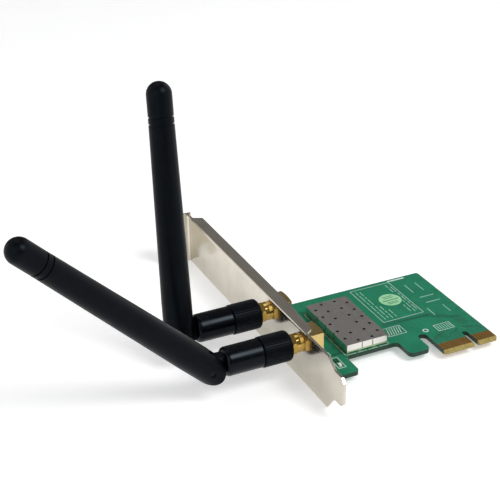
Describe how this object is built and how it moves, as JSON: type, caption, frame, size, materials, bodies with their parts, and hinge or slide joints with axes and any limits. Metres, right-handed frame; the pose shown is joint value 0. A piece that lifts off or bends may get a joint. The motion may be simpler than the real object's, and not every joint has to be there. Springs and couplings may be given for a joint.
{
  "type": "wireless network card",
  "caption": "One-lane expansion card with a perforated radio shield, a folded full-height bracket and hinged stick antennas that swivel on threaded jacks.",
  "frame": {"origin": "middle of the key slot at the contact edge, half way through the board", "axes": "+X along the card away from the bracket, +Y up the card away from the slot, +Z out of the component side"},
  "size_m": [0.157, 0.12, 0.0915],
  "materials": {
    "board": "satin solder mask",
    "gold": "gold plate",
    "tin_plate": "satin tin plate",
    "bracket_steel": "bright nickel plate",
    "jack_brass": "bright gold plate",
    "insulator": "matt",
    "black_plastic": "satin",
    "chip_black": "matt",
    "crystal_case": "satin",
    "ferrite": "matt",
    "capacitor_ceramic": "matt",
    "resistor_ceramic": "matt",
    "led_lens": "gloss",
    "hinge_steel": "dark satin",
    "cable_jacket": "satin"
  },
  "bodies": {
    "card": {"circuit_board": "board", "edge_contacts": "gold", "shield_frame": "tin_plate", "shield_cover": "tin_plate", "bracket": "bracket_steel", "radio_chip": "chip_black", "amplifier_chips": "chip_black", "memory_chip": "chip_black", "crystal": "crystal_case", "power_inductor": "ferrite", "chip_capacitors": "capacitor_ceramic", "chip_resistors": "resistor_ceramic", "indicator_led": "led_lens", "front_jack_body": "jack_brass", "front_jack_insulator": "insulator", "front_jack_contact": "gold", "front_lock_washer": "jack_brass", "front_panel_nut": "jack_brass", "rear_jack_body": "jack_brass", "rear_jack_insulator": "insulator", "rear_jack_contact": "gold", "rear_lock_washer": "jack_brass", "rear_panel_nut": "jack_brass"},
    "front_coupling": {"front_coupling_shell": "black_plastic", "front_coupling_nut": "jack_brass"},
    "front_base": {"front_plug_core": "jack_brass", "front_plug_socket": "gold", "front_base_barrel": "black_plastic"},
    "front_blade": {"front_hinge_pin": "hinge_steel", "front_blade_sleeve": "black_plastic", "front_tip_cap": "black_plastic", "front_feed_cable": "cable_jacket", "front_radiator": "gold"},
    "rear_coupling": {"rear_coupling_shell": "black_plastic", "rear_coupling_nut": "jack_brass"},
    "rear_base": {"rear_plug_core": "jack_brass", "rear_plug_socket": "gold", "rear_base_barrel": "black_plastic"},
    "rear_blade": {"rear_hinge_pin": "hinge_steel", "rear_blade_sleeve": "black_plastic", "rear_tip_cap": "black_plastic", "rear_feed_cable": "cable_jacket", "rear_radiator": "gold"}
  },
  "joints": [
    {"name": "front_coupling_turn", "type": "hinge", "parent": "card", "child": "front_coupling", "pos_m": [-0.0589, 0.01485, 0.00919], "axis": [1, 0, 0], "continuous": true},
    {"name": "front_swivel", "type": "hinge", "parent": "card", "child": "front_base", "pos_m": [-0.0589, 0.01485, 0.00919], "axis": [1, 0, 0], "range_deg": [-58, 176]},
    {"name": "front_elbow", "type": "hinge", "parent": "front_base", "child": "front_blade", "pos_m": [-0.0901, 0.01485, 0.00919], "axis": [0, 0.998, 0.0628], "range_deg": [-45, 49]},
    {"name": "rear_coupling_turn", "type": "hinge", "parent": "card", "child": "rear_coupling", "pos_m": [-0.0589, 0.03728, 0.00919], "axis": [1, 0, 0], "continuous": true},
    {"name": "rear_swivel", "type": "hinge", "parent": "card", "child": "rear_base", "pos_m": [-0.0589, 0.03728, 0.00919], "axis": [1, 0, 0], "range_deg": [-165, 65]},
    {"name": "rear_elbow", "type": "hinge", "parent": "rear_base", "child": "rear_blade", "pos_m": [-0.0901, 0.03728, 0.00919], "axis": [0, 0.9763, -0.2164], "range_deg": [-92.8, 1.2]}
  ]
}
